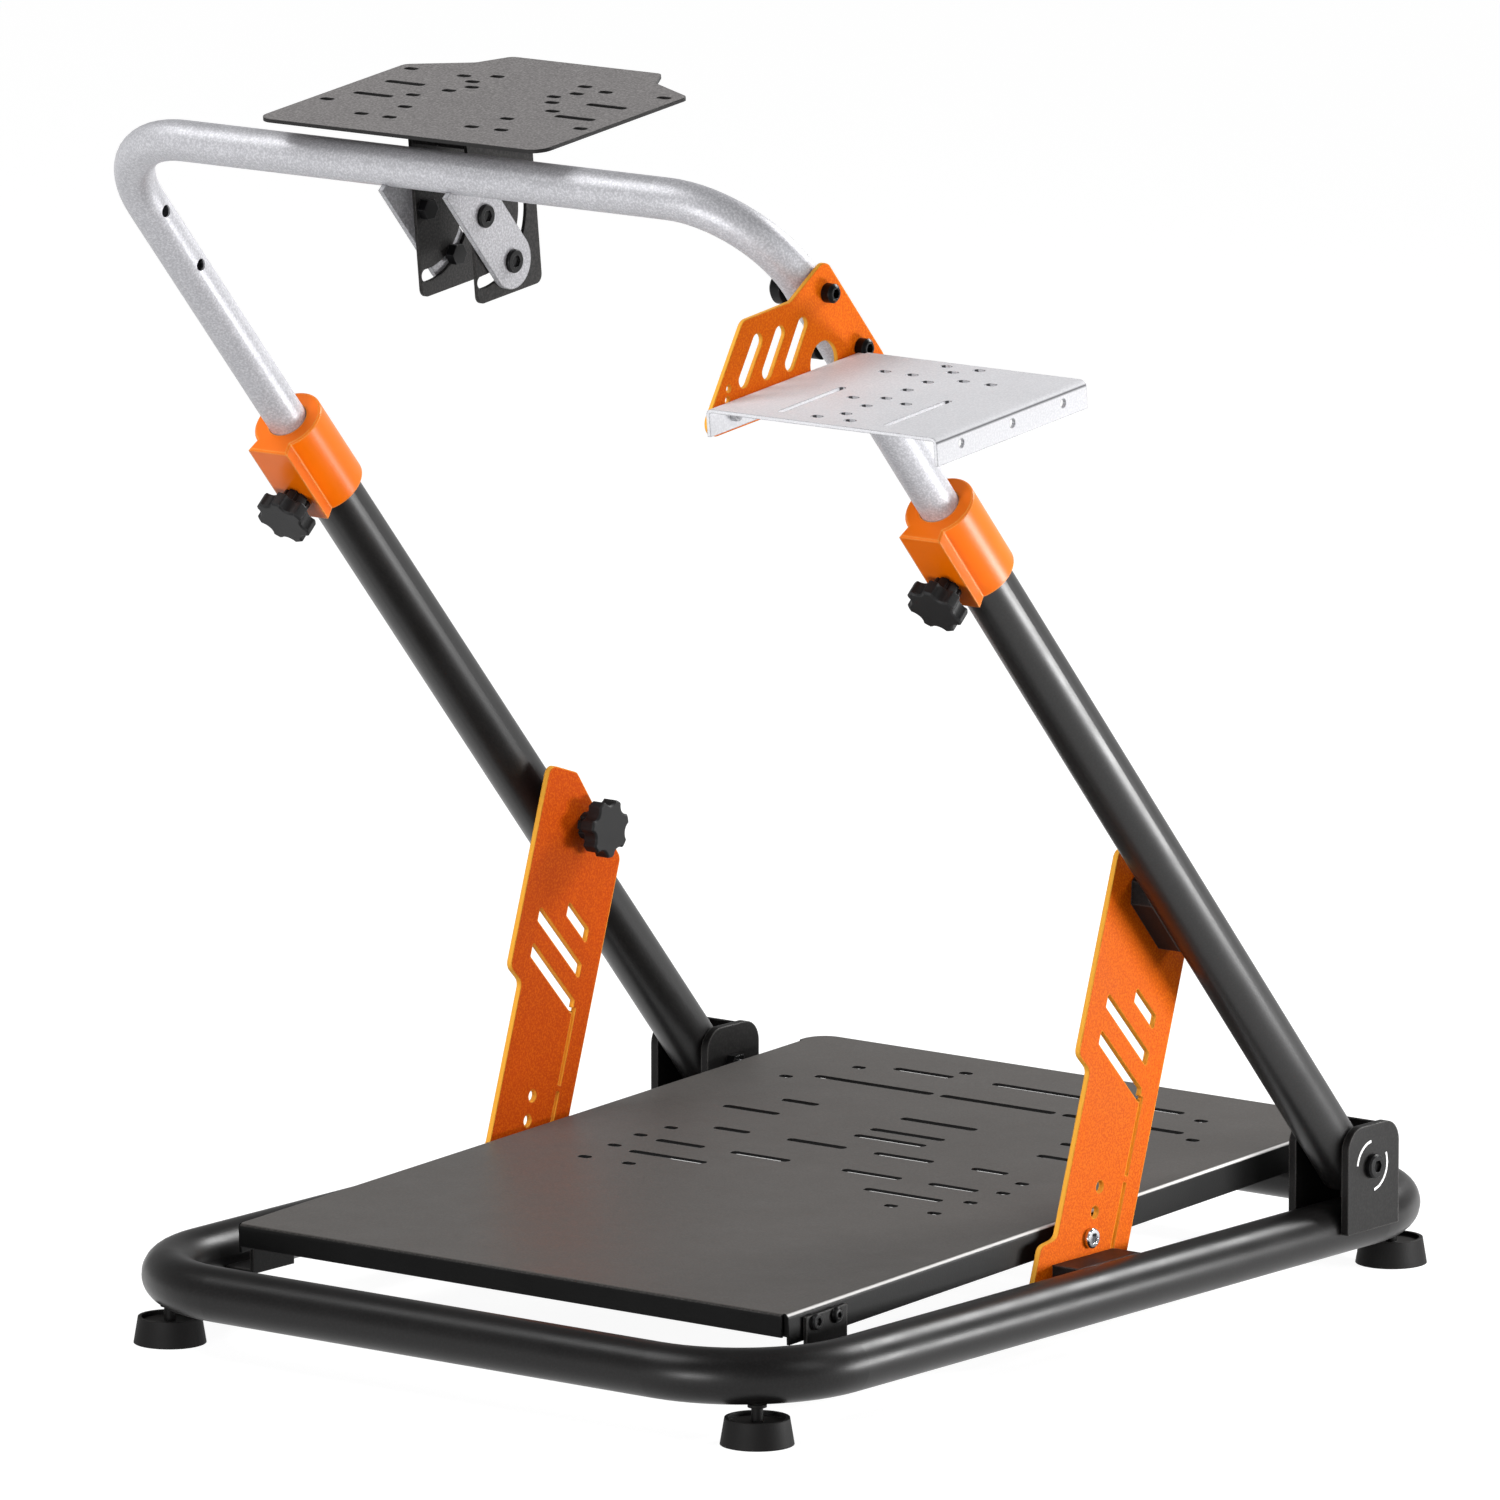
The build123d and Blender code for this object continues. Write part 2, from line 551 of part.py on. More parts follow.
for side_name, side in SIDES:
    with BuildPart() as strut:
        with BuildSketch(side_plane(side, STRUT_INSIDE, STRUT_PLATE)) as strut_outline:
            with BuildLine():
                Polyline(*[on_strut(up, front) for up, front in STRUT_OUTLINE], close=True)
            make_face()
            fillet(strut_outline.vertices(), STRUT_CORNER_R)
        extrude(amount=STRUT_PLATE)
        with BuildSketch(side_plane(side, STRUT_INSIDE, STRUT_PLATE)) as strut_slots:
            for i, slot_front in enumerate(STRUT_SLOT_FRONTS):
                with BuildLine():
                    slot_corners = strut_slot(STRUT_SLOT_LOW + i * STRUT_SLOT_PITCH, slot_front)
                    Polyline(*[on_strut(up, front) for up, front in slot_corners], close=True)
                make_face()
            fillet(strut_slots.vertices(), STRUT_SLOT_CORNER_R)
            for low, high in SLITS:
                with Locations(
                    Location(on_strut((low + high) / 2, -STRUT_SLOT_REAR - SLIT_WIDTH / 2), STRUT_RISE)
                ):
                    Rectangle(high - low, SLIT_WIDTH)
            with Locations(*STRUT_HOLES):
                Circle(STRUT_HOLE_R)
            with Locations(on_strut(STRUT_SPAN, 0)):
                Circle(KNOB_STUD_R + SEAT)
        extrude(amount=STRUT_PLATE, mode=Mode.SUBTRACT)
    save(strut, f"{side_name}_strut")
    knob_seat = Plane(
        origin=(side * STRUT_INSIDE, KNOB_POINT.Y, KNOB_POINT.Z), x_dir=(0, 0, 1), z_dir=(-side, 0, 0)
    )
    save(star_knob(knob_seat, STRUT_PLATE), f"{side_name}_strut_knob")
    pedal_bolt = bolt(
        side, *STRUT_HOLES[0], STRUT_OUTSIDE, PEDAL_BOLT_R, PEDAL_BOLT_HEAD_R, PEDAL_BOLT_HEAD,
        STRUT_INSIDE, PEDAL_NUT_R, PEDAL_NUT,
    )
    save(pedal_bolt, f"{side_name}_pedal_bolt")

    # Lower lug: welded block from the base tube to the strut's foot
    with BuildPart() as lower_lug:
        with BuildSketch(side_plane(side, STRUT_OUTSIDE, LUG_REACH + TUBE_R)):
            with Locations((STRUT_FOOT_Y, BASE_Z - LUG_BELOW)):
                Rectangle(LUG_LENGTH, LUG_ABOVE + LUG_BELOW, align=(Align.CENTER, Align.MIN))
        extrude(amount=LUG_REACH + TUBE_R)
        with BuildSketch(Plane.XZ.offset(-STRUT_FOOT_Y)):
            with Locations((side * HALF_WIDTH, BASE_Z)):
                Circle(TUBE_R + SEAT)
        extrude(amount=LUG_LENGTH, both=True, mode=Mode.SUBTRACT)
    save(lower_lug, f"{side_name}_lower_lug")

    # Upper lug: welded block on the upright, bevelled at its ends, that the strut's knob pulls against
    upper_lug_width = LUG_REACH + TUBE_R - SLIDING
    with BuildPart() as upper_lug:
        with BuildSketch(side_plane(side, STRUT_OUTSIDE + SLIDING, upper_lug_width)) as lug_outline:
            with Locations(Location((KNOB_POINT.Y, KNOB_POINT.Z), LEAN)):
                Rectangle(2 * UPPER_LUG_HALF, UPPER_LUG_LENGTH)
            chamfer(lug_outline.vertices(), UPPER_LUG_BEVEL)
            with Locations((KNOB_POINT.Y, KNOB_POINT.Z)):
                Circle(KNOB_STUD_R + SEAT, mode=Mode.SUBTRACT)
        extrude(amount=upper_lug_width)
        with BuildSketch(across_upright(side, STRUT_KNOB_S)):
            Circle(TUBE_R + SEAT)
        extrude(amount=UPPER_LUG_LENGTH, both=True, mode=Mode.SUBTRACT)
    save(upper_lug, f"{side_name}_upper_lug")

# Pedal plate: folded sheet with a front lip, side flanges and rows of slots
PEDAL_SIN = sin(radians(PEDAL_TILT))
PEDAL_COS = cos(radians(PEDAL_TILT))
PEDAL_DEPTH = (2 * HALF_LENGTH - PEDAL_FROM_FRONT - PEDAL_FROM_REAR) / PEDAL_COS
PEDAL_FRONT_Y = PEDAL_FROM_FRONT - HALF_LENGTH
PEDAL_FRONT_Z = BASE_Z + PEDAL_RISE
PEDAL_PIVOT_Y = PEDAL_FRONT_Y + PEDAL_PIVOT_BACK * PEDAL_COS + PEDAL_PIVOT_DOWN * PEDAL_SIN
PEDAL_PIVOT_Z = PEDAL_FRONT_Z + PEDAL_PIVOT_BACK * PEDAL_SIN - PEDAL_PIVOT_DOWN * PEDAL_COS
LIP_HALF = PEDAL_HALF_WIDTH - LIP_RELIEF
pedal_top = sheet_top(0, PEDAL_FRONT_Y, PEDAL_FRONT_Z, PEDAL_TILT)
pedal_fold = sheet_front(pedal_top).offset(-LIP_RELIEF)
with BuildPart() as pedal_plate:
    add(
        channel(
            pedal_fold, PEDAL_HALF_WIDTH, PEDAL_FLANGE, PEDAL_SHEET, PEDAL_BEND_R,
            PEDAL_DEPTH - PEDAL_CORNER_R - LIP_RELIEF,
        ).part
    )
    with BuildSketch(sheet_side(pedal_top, -LIP_HALF)):
        with BuildLine():
            FilletPolyline(
                (LIP_RELIEF, -PEDAL_SHEET / 2), (PEDAL_SHEET / 2, -PEDAL_SHEET / 2),
                (PEDAL_SHEET / 2, -PEDAL_LIP), radius=PEDAL_BEND_R - PEDAL_SHEET / 2,
            )
        trace(line_width=PEDAL_SHEET)
    extrude(amount=2 * LIP_HALF)
    with BuildSketch(pedal_fold):
        for side_name, side in SIDES:
            with Locations((side * (PEDAL_HALF_WIDTH - PEDAL_SHEET), -PEDAL_SHEET)):
                Rectangle(
                    CORNER_TAB, PEDAL_LIP - PEDAL_SHEET,
                    align=(Align.MAX if side > 0 else Align.MIN, Align.MAX),
                )
    extrude(amount=-PEDAL_SHEET)
    with BuildSketch(pedal_top) as pedal_rear:
        with Locations((0, PEDAL_DEPTH)):
            Rectangle(2 * PEDAL_HALF_WIDTH, PEDAL_CORNER_R + PEDAL_BEND_R, align=(Align.CENTER, Align.MAX))
        fillet(pedal_rear.vertices().group_by(Axis.Y)[-1], PEDAL_CORNER_R)
    extrude(amount=-PEDAL_SHEET)
    with BuildSketch(pedal_top):
        for row, length in PEDAL_MIDDLE_SLOTS:
            with Locations((0, PEDAL_DEPTH - row)):
                SlotOverall(length, PEDAL_SLOT)
        for row, middle, length in PEDAL_PAIR_SLOTS:
            with Locations((-middle, PEDAL_DEPTH - row), (middle, PEDAL_DEPTH - row)):
                SlotOverall(length, PEDAL_SLOT)
        for row, middle in PEDAL_PAIR_OVALS:
            with Locations((-middle, PEDAL_DEPTH - row), (middle, PEDAL_DEPTH - row)):
                SlotOverall(PEDAL_OVAL, PEDAL_SLOT)
    extrude(amount=-PEDAL_SHEET, mode=Mode.SUBTRACT)
    with BuildSketch(Plane.YZ):
        with Locations((PEDAL_PIVOT_Y, PEDAL_PIVOT_Z)):
            Circle(PEDAL_PIVOT_R + RUNNING)
        with Locations(STRUT_HOLES[0]):
            Circle(PEDAL_BOLT_R)
    extrude(amount=PEDAL_HALF_WIDTH, both=True, mode=Mode.SUBTRACT)
save(pedal_plate, "pedal_plate")

# Pedal brackets: bent plates on the base tube that carry the pedal plate's pivot bolts
BRACKET_IN = PEDAL_HALF_WIDTH + SLIDING
BRACKET_FOOT = HALF_WIDTH - BRACKET_IN
PEDAL_BRACKET_DEPTH = PEDAL_BRACKET_FRONT + PEDAL_BRACKET_REAR
PEDAL_BRACKET_Z = BASE_Z - PEDAL_BRACKET_DROP
for side_name, side in SIDES:
    with BuildPart() as pedal_bracket:
        with BuildSketch(side_plane(side, BRACKET_IN, PEDAL_BRACKET_PLATE)):
            with BuildLine():
                Polyline(
                    (PEDAL_PIVOT_Y - PEDAL_BRACKET_FRONT, PEDAL_BRACKET_Z),
                    (PEDAL_PIVOT_Y + PEDAL_BRACKET_REAR, PEDAL_BRACKET_Z),
                    (
                        PEDAL_PIVOT_Y + PEDAL_BRACKET_REAR,
                        PEDAL_PIVOT_Z + PEDAL_BRACKET_UP + PEDAL_BRACKET_REAR * PEDAL_SIN,
                    ),
                    (
                        PEDAL_PIVOT_Y - PEDAL_BRACKET_FRONT,
                        PEDAL_PIVOT_Z + PEDAL_BRACKET_UP - PEDAL_BRACKET_FRONT * PEDAL_SIN,
                    ),
                    close=True,
                )
            make_face()
            with Locations((PEDAL_PIVOT_Y, PEDAL_PIVOT_Z)):
                Circle(PEDAL_PIVOT_R + SEAT, mode=Mode.SUBTRACT)
        extrude(amount=PEDAL_BRACKET_PLATE)
        with BuildSketch(side_plane(side, BRACKET_IN, BRACKET_FOOT)):
            with Locations((PEDAL_PIVOT_Y - PEDAL_BRACKET_FRONT, PEDAL_BRACKET_Z)):
                Rectangle(PEDAL_BRACKET_DEPTH, PEDAL_BRACKET_PLATE, align=(Align.MIN, Align.MIN))
        extrude(amount=BRACKET_FOOT)
        with BuildSketch(Plane.XZ.offset(-PEDAL_PIVOT_Y)):
            with Locations((side * HALF_WIDTH, BASE_Z)):
                Circle(TUBE_R + SEAT)
        extrude(amount=PEDAL_BRACKET_REAR + CUT_PAST, both=True, mode=Mode.SUBTRACT)
    save(pedal_bracket, f"{side_name}_pedal_bracket")
    pedal_pivot = bolt(
        side, PEDAL_PIVOT_Y, PEDAL_PIVOT_Z, BRACKET_IN + PEDAL_BRACKET_PLATE, PEDAL_PIVOT_R,
        PEDAL_PIVOT_HEAD_R, PEDAL_PIVOT_HEAD, PEDAL_HALF_WIDTH - PEDAL_SHEET - SLIDING,
        PEDAL_PIVOT_NUT_R, PEDAL_PIVOT_NUT,
    )
    save(pedal_pivot, f"{side_name}_pedal_pivot")

# Wheel arch: one bent tube whose legs slide in the uprights
LEG_HOLE_HIGH_S = LEG_HOLE_LOW_S + LEG_HOLE_PITCH
with BuildPart() as wheel_arch:
    with BuildLine() as arch_path:
        FilletPolyline(
            on_upright(-1, ARCH_LOW_S), on_upright(-1, ARCH_TOP_S), on_upright(1, ARCH_TOP_S),
            on_upright(1, ARCH_LOW_S), radius=ARCH_BEND_R,
        )
    with BuildSketch(across_upright(-1, ARCH_LOW_S)):
        Circle(ARCH_R)
        Circle(ARCH_R - ARCH_WALL, mode=Mode.SUBTRACT)
    sweep(path=arch_path.wires()[0])
    with BuildSketch(Plane.YZ):
        for s in (LEG_HOLE_LOW_S, LEG_HOLE_HIGH_S):
            hole_at = on_upright(1, s)
            with Locations((hole_at.Y, hole_at.Z)):
                Circle(LEG_HOLE_R)
    extrude(amount=HALF_WIDTH + ARCH_R, both=True, mode=Mode.SUBTRACT)
save(wheel_arch, "wheel_arch")

# Arms: plates welded behind the crossbar, saddle-cut round it
ARCH_TOP = on_upright(1, ARCH_TOP_S)
CLAMP_FROM_BAR = TILT_FROM_BAR + TILT_SLOT_R
ARM_Y = cos(radians(ARM_ANGLE))
ARM_Z = sin(radians(ARM_ANGLE))
TILT_Y = ARCH_TOP.Y + TILT_FROM_BAR * ARM_Y
TILT_Z = ARCH_TOP.Z + TILT_FROM_BAR * ARM_Z
CLAMP_Y = ARCH_TOP.Y + CLAMP_FROM_BAR * ARM_Y
CLAMP_Z = ARCH_TOP.Z + CLAMP_FROM_BAR * ARM_Z
ARM_IN = TILT_OUTSIDE + SLIDING
ARM_LENGTH = CLAMP_FROM_BAR - ARM_PAST_AXIS
ARM_MID = ARM_PAST_AXIS + ARM_LENGTH / 2
arm_middle = Location((ARCH_TOP.Y + ARM_MID * ARM_Y, ARCH_TOP.Z + ARM_MID * ARM_Z), ARM_ANGLE)
for side_name, side in SIDES:
    with BuildPart() as arm:
        with BuildSketch(side_plane(side, ARM_IN, ARM_PLATE)):
            with Locations((CLAMP_Y, CLAMP_Z)):
                Circle(ARM_HALF_WIDTH)
            with Locations(arm_middle):
                Rectangle(ARM_LENGTH, 2 * ARM_HALF_WIDTH)
            with Locations((ARCH_TOP.Y, ARCH_TOP.Z)):
                Circle(ARCH_R + SEAT, mode=Mode.SUBTRACT)
            with Locations((TILT_Y, TILT_Z), (CLAMP_Y, CLAMP_Z)):
                Circle(TILT_BOLT_R + SEAT, mode=Mode.SUBTRACT)
        extrude(amount=ARM_PLATE)
    save(arm, f"{side_name}_wheel_arm")
    for bolt_name, bolt_y, bolt_z in (("tilt_pivot", TILT_Y, TILT_Z), ("tilt_clamp", CLAMP_Y, CLAMP_Z)):
        tilt_bolt = bolt(
            side, bolt_y, bolt_z, ARM_IN + ARM_PLATE, TILT_BOLT_R, TILT_HEAD_R, TILT_HEAD,
            TILT_OUTSIDE - TILT_SHEET - SLIDING, TILT_NUT_R, TILT_NUT,
        )
        save(tilt_bolt, f"{side_name}_{bolt_name}")

# Wheel plate: flat sheet with a stepped rear tab and rows of slots
WHEEL_SIN = sin(radians(WHEEL_TILT))
WHEEL_COS = cos(radians(WHEEL_TILT))
WHEEL_FRONT_Y = TILT_Y - WHEEL_AHEAD * WHEEL_COS - WHEEL_ABOVE * WHEEL_SIN
WHEEL_FRONT_Z = TILT_Z - WHEEL_AHEAD * WHEEL_SIN + WHEEL_ABOVE * WHEEL_COS
wheel_top = sheet_top(0, WHEEL_FRONT_Y, WHEEL_FRONT_Z, WHEEL_TILT)
with BuildPart() as wheel_plate:
    with BuildSketch(wheel_top) as wheel_outline:
        with BuildLine():
            Polyline(
                (-WHEEL_HALF_WIDTH, 0), (WHEEL_HALF_WIDTH, 0), (WHEEL_HALF_WIDTH, WHEEL_DEPTH),
                (WHEEL_NECK_HALF, WHEEL_SHOULDER), (WHEEL_TAB_HALF, WHEEL_TAB_DEPTH),
                (-WHEEL_TAB_HALF, WHEEL_TAB_DEPTH), (-WHEEL_NECK_HALF, WHEEL_SHOULDER),
                (-WHEEL_HALF_WIDTH, WHEEL_DEPTH), close=True,
            )
        make_face()
        fillet(wheel_outline.vertices().group_by(Axis.Y)[0], WHEEL_FRONT_R)
        rear_corners = wheel_outline.vertices().filter_by_position(Axis.Y, WHEEL_DEPTH, WHEEL_TAB_DEPTH)
        fillet(rear_corners, WHEEL_CORNER_R)
        for middle, row in WHEEL_LONG_SLOTS:
            with Locations((-middle, row), (middle, row)):
                SlotOverall(WHEEL_LONG_SLOT, WHEEL_SLOT, mode=Mode.SUBTRACT)
        for middle, row in WHEEL_SHORT_SLOTS:
            with Locations((-middle, row), (middle, row)):
                SlotOverall(WHEEL_SHORT_SLOT, WHEEL_SLOT, mode=Mode.SUBTRACT)
    extrude(amount=-WHEEL_SHEET)
save(wheel_plate, "wheel_plate")

# Tilt bracket: folded channel under the wheel plate, with pivot holes and arc slots in its ears
EAR_TOP = WHEEL_ABOVE - WHEEL_SHEET
EAR_MIDDLE = TILT_LENGTH / 2 - TILT_FRONT
SLOT_SWEEP = TILT_SLOT_HIGH - TILT_SLOT_LOW
SLOT_HALF = TILT_BOLT_R + SLIDING
slot_reach = Vector(TILT_SLOT_R, 0)
BAR_BACK = (ARCH_TOP.Y - TILT_Y) * WHEEL_COS + (ARCH_TOP.Z - TILT_Z) * WHEEL_SIN
BAR_UP = (ARCH_TOP.Z - TILT_Z) * WHEEL_COS - (ARCH_TOP.Y - TILT_Y) * WHEEL_SIN
ear_plane = Plane(origin=(-TILT_OUTSIDE, TILT_Y, TILT_Z), x_dir=wheel_top.y_dir, z_dir=(1, 0, 0))
tilt_front = sheet_front(wheel_top.offset(-WHEEL_SHEET)).offset(TILT_FRONT - WHEEL_AHEAD)
with BuildPart() as tilt_bracket:
    add(channel(tilt_front, TILT_OUTSIDE, EAR_TOP + TILT_BELOW, TILT_SHEET, TILT_BEND_R, TILT_LENGTH).part)
    with BuildSketch(tilt_front):
        for seam_side, seam_align in ((-1, Align.MAX), (1, Align.MIN)):
            with Locations((seam_side * TILT_SEAM / 2, 0)):
                Rectangle(TILT_OUTSIDE - TILT_BEND_R, TILT_LIP, align=(seam_align, Align.MAX))
    extrude(amount=-TILT_SHEET)
    with BuildSketch(ear_plane) as ear_outline:
        with Locations((EAR_MIDDLE, EAR_TOP)):
            Rectangle(TILT_LENGTH, EAR_TOP + TILT_BELOW, align=(Align.CENTER, Align.MAX))
        fillet(ear_outline.vertices().group_by(Axis.Y)[0], TILT_CORNER_R)
        Circle(TILT_BOLT_R + RUNNING, mode=Mode.SUBTRACT)
        with BuildLine():
            CenterArc((0, 0), TILT_SLOT_R + SLOT_HALF, TILT_SLOT_LOW, SLOT_SWEEP)
            CenterArc((0, 0), TILT_SLOT_R - SLOT_HALF, TILT_SLOT_LOW, SLOT_SWEEP)
            CenterArc(slot_reach.rotate(Axis.Z, TILT_SLOT_LOW), SLOT_HALF, TILT_SLOT_LOW, -HALF_TURN)
            CenterArc(slot_reach.rotate(Axis.Z, TILT_SLOT_HIGH), SLOT_HALF, TILT_SLOT_HIGH, HALF_TURN)
        make_face(mode=Mode.SUBTRACT)
        with Locations((BAR_BACK, BAR_UP)):
            Circle(ARCH_R + MOVING, mode=Mode.SUBTRACT)
    extrude(amount=2 * TILT_OUTSIDE, mode=Mode.INTERSECT)
save(tilt_bracket, "tilt_bracket")

# Shifter bracket: cut plate on the outside of the right leg
SHIFTER_IN = HALF_WIDTH + ARCH_R
SHELF_SIN = sin(radians(SHELF_TILT))
SHELF_COS = cos(radians(SHELF_TILT))
LOW_HOLE = on_upright(1, LEG_HOLE_LOW_S)
SHELF_FRONT_Y = LOW_HOLE.Y - SHELF_AHEAD * SHELF_COS + SHELF_BELOW * SHELF_SIN
SHELF_FRONT_Z = LOW_HOLE.Z - SHELF_AHEAD * SHELF_SIN - SHELF_BELOW * SHELF_COS


def beside_leg(up, out):
    """(Y, Z) of a point that far up the right leg from its lower hole, and out in front of it."""
    point = on_upright(1, LEG_HOLE_LOW_S + up, out)
    return (point.Y, point.Z)


def on_shelf(back, up):
    """(Y, Z) of a point that far behind the shelf's front edge and above its top."""
    return (
        SHELF_FRONT_Y + back * SHELF_COS - up * SHELF_SIN,
        SHELF_FRONT_Z + back * SHELF_SIN + up * SHELF_COS,
    )


with BuildPart() as shifter_bracket:
    with BuildSketch(Plane.YZ.offset(SHIFTER_IN)) as shifter_outline:
        with BuildLine():
            Polyline(
                on_shelf(-SHIFTER_NOSE, -SHELF_FLANGE - SHIFTER_DROP), beside_leg(*SHIFTER_PEAK),
                beside_leg(*SHIFTER_NOTCH), beside_leg(SHIFTER_TOP, -SHIFTER_REAR),
                beside_leg(-SHIFTER_LOW, -SHIFTER_REAR), close=True,
            )
        make_face()
        fillet(shifter_outline.vertices(), SHIFTER_CORNER_R)
        for slot_from, slot_to in SHIFTER_SLOTS:
            slot_start = Vector(*beside_leg(*slot_from))
            slot_end = Vector(*beside_leg(*slot_to))
            SlotCenterPoint((slot_start + slot_end) / 2, slot_end, SHIFTER_SLOT, mode=Mode.SUBTRACT)
        with Locations(beside_leg(*SHIFTER_HOLE)):
            Circle(SHIFTER_HOLE_R, mode=Mode.SUBTRACT)
        with Locations(*[beside_leg(*pin_hole) for pin_hole in SHIFTER_PIN_HOLES]):
            Circle(SHIFTER_PIN_HOLE_R, mode=Mode.SUBTRACT)
        with Locations(beside_leg(0, 0), beside_leg(LEG_HOLE_PITCH, 0)):
            Circle(SHIFTER_BOLT_R + SEAT, mode=Mode.SUBTRACT)
    extrude(amount=SHIFTER_PLATE)
save(shifter_bracket, "shifter_bracket")

for bolt_name, hole_up in (("lower", 0), ("upper", LEG_HOLE_PITCH)):
    shifter_bolt = bolt(
        1, *beside_leg(hole_up, 0), SHIFTER_IN + SHIFTER_PLATE, SHIFTER_BOLT_R, SHIFTER_HEAD_R, SHIFTER_HEAD,
        HALF_WIDTH - ARCH_R - SEAT, SHIFTER_NUT_R, SHIFTER_NUT, round_nut=True,
    )
    save(shifter_bolt, f"{bolt_name}_shifter_bolt")

# Shifter shelf: folded sheet with a flange down each side, notched round the lower bolt's head
SHELF_LEFT = SHIFTER_IN + SHIFTER_PLATE
SHELF_MIDDLE = SHELF_LEFT + SHELF_WIDTH / 2
shelf_top = sheet_top(SHELF_MIDDLE, SHELF_FRONT_Y, SHELF_FRONT_Z, SHELF_TILT)
with BuildPart() as shifter_shelf:
    add(
        channel(
            sheet_front(shelf_top), SHELF_WIDTH / 2, SHELF_FLANGE, SHELF_SHEET, SHELF_BEND_R, SHELF_DEPTH
        ).part
    )
    with BuildSketch(shelf_top):
        with Locations((-SHELF_LONG_X, SHELF_LONG_MID), (SHELF_LONG_X, SHELF_LONG_MID)):
            SlotOverall(SHELF_LONG_SLOT, SHELF_SLOT, rotation=HALF_TURN / 2)
        with Locations(*[(0, row) for row in SHELF_MIDDLE_SLOTS]):
            SlotOverall(SHELF_SHORT_SLOT, SHELF_SLOT)
        for middle, row in SHELF_PAIR_SLOTS:
            with Locations((-middle, row), (middle, row)):
                SlotOverall(SHELF_SHORT_SLOT, SHELF_SLOT)
    extrude(amount=-SHELF_SHEET, mode=Mode.SUBTRACT)
    with BuildSketch(Plane.YZ.offset(SHELF_LEFT)):
        with Locations(*[on_shelf(back, -SHELF_FLANGE / 2) for back in SHELF_SIDE_HOLES]):
            Circle(SHELF_SIDE_HOLE_R)
    extrude(amount=SHELF_WIDTH, mode=Mode.SUBTRACT)
    with BuildSketch(Plane.YZ.offset(SHELF_LEFT)):
        with Locations(beside_leg(0, 0)):
            Circle(SHIFTER_HEAD_R + CUT_PAST)
    extrude(amount=SHIFTER_HEAD + CUT_PAST, mode=Mode.SUBTRACT)
save(shifter_shelf, "shifter_shelf")
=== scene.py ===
"""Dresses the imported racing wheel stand: finishes, small fasteners, studio and camera.

The frame's nodes keep their shapes and get procedural finishes here. Ten small pieces are
added, each of which rides on one of the frame's bodies.
"""

from math import cos, pi, radians, sin

import bmesh
import bpy
from mathutils import Matrix, Vector


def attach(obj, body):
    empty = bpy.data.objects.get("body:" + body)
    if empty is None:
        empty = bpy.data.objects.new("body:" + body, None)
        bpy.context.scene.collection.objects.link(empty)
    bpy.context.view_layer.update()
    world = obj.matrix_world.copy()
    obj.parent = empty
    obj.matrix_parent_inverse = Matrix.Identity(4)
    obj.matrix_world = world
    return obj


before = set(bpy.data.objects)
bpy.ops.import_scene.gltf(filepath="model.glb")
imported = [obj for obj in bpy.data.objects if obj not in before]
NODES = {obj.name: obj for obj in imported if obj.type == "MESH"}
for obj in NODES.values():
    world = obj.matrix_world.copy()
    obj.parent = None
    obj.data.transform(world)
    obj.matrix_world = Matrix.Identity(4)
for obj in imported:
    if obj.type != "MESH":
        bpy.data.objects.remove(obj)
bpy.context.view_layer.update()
SCENE = bpy.context.scene
SCENE.view_settings.view_transform = "Standard"


def linear(value):
    """The linear value of an 8-bit sRGB level."""
    c = value / 255.0
    return c / 12.92 if c <= 0.04045 else ((c + 0.055) / 1.055) ** 2.4


def colour(red, green, blue):
    """A linear RGBA colour from 8-bit sRGB levels."""
    return (linear(red), linear(green), linear(blue), 1.0)


def scaled(tint, factor):
    """The same colour, lighter or darker."""
    return tuple(min(1.0, part * factor) for part in tint[:3]) + (1.0,)


# The photograph's camera: angles, metres, and lens and sensor in millimetres.
CAM_AZIMUTH = radians(37.884)
CAM_ELEVATION = radians(10.643)
CAM_DISTANCE = 12.1544
CAM_SIDE = -0.025416
CAM_RISE = -0.013172
CAM_AIM = Vector((0.0, 0.0, 0.4))
CAM_LENS = 425.765
CAM_SENSOR = 36.0
CAM_CLIP_END = 1000.0

# The studio. The floor is wide enough to meet the horizon in low views, and the sky's strength
# falls from near the horizon upwards.
WHITE = (1.0, 1.0, 1.0, 1.0)
FLOOR_RADIUS = 400.0
FLOOR_CORNERS = 96
FLOOR_DIFFUSE = (0.26, 0.26, 0.26, 1.0)
FLOOR_GLOW = 0.93
SKY = (("From Min", 0.05), ("From Max", 0.6), ("To Min", 0.55), ("To Max", 0.18))
STAND_MIDDLE = (0.0, 0.0, 0.45)

# What all finishes share. A SPAN is where a blend starts and ends: on a noise, on the
# bevelled normal's agreement with the flat one, or on a component of the normal.
FINE_DETAIL = 2.0
FINE_ROUGHNESS = 0.6
BROAD_SCALE = 23.0
BROAD_DETAIL = 4.0
BROAD_ROUGHNESS = 0.55
MOTTLE_SPAN = (0.3, 0.7)
SPECKLE_SPAN = (0.42, 0.66)
RELIEF_DEPTH = 0.0004
# The edge, wear, wall, hole, top and bend values below shape painted light: painted highlight and
# painted shade on outer edges, cut faces, hole walls and folds, and a lighter top that on the pedal
# plate is painted sheen.
EDGE_SAMPLES = 4
EDGE_RADIUS = 0.0012
EDGE_SPAN = (0.995, 0.8)
WEAR_SPAN = (0.35, 0.6)
WEAR_LEAST = 0.55
WALL_SPAN = (0.7, 0.4)
HOLE_SPAN = (0.4, 0.3)
HOLE_LIMITS = (("X", 0.95), ("Y", 0.98))
HOLE_FADE = 0.04
TOP_TINT = colour(150, 146, 142)
TOP_TINT_SPAN = (0.8, 1.0)
BEND_FADE = 0.2
BEND_SIDE_SPAN = (0.2, 0.3)
GLOSS_SPAN = (0.25, 0.75)
GLOSS_SWING = 0.05


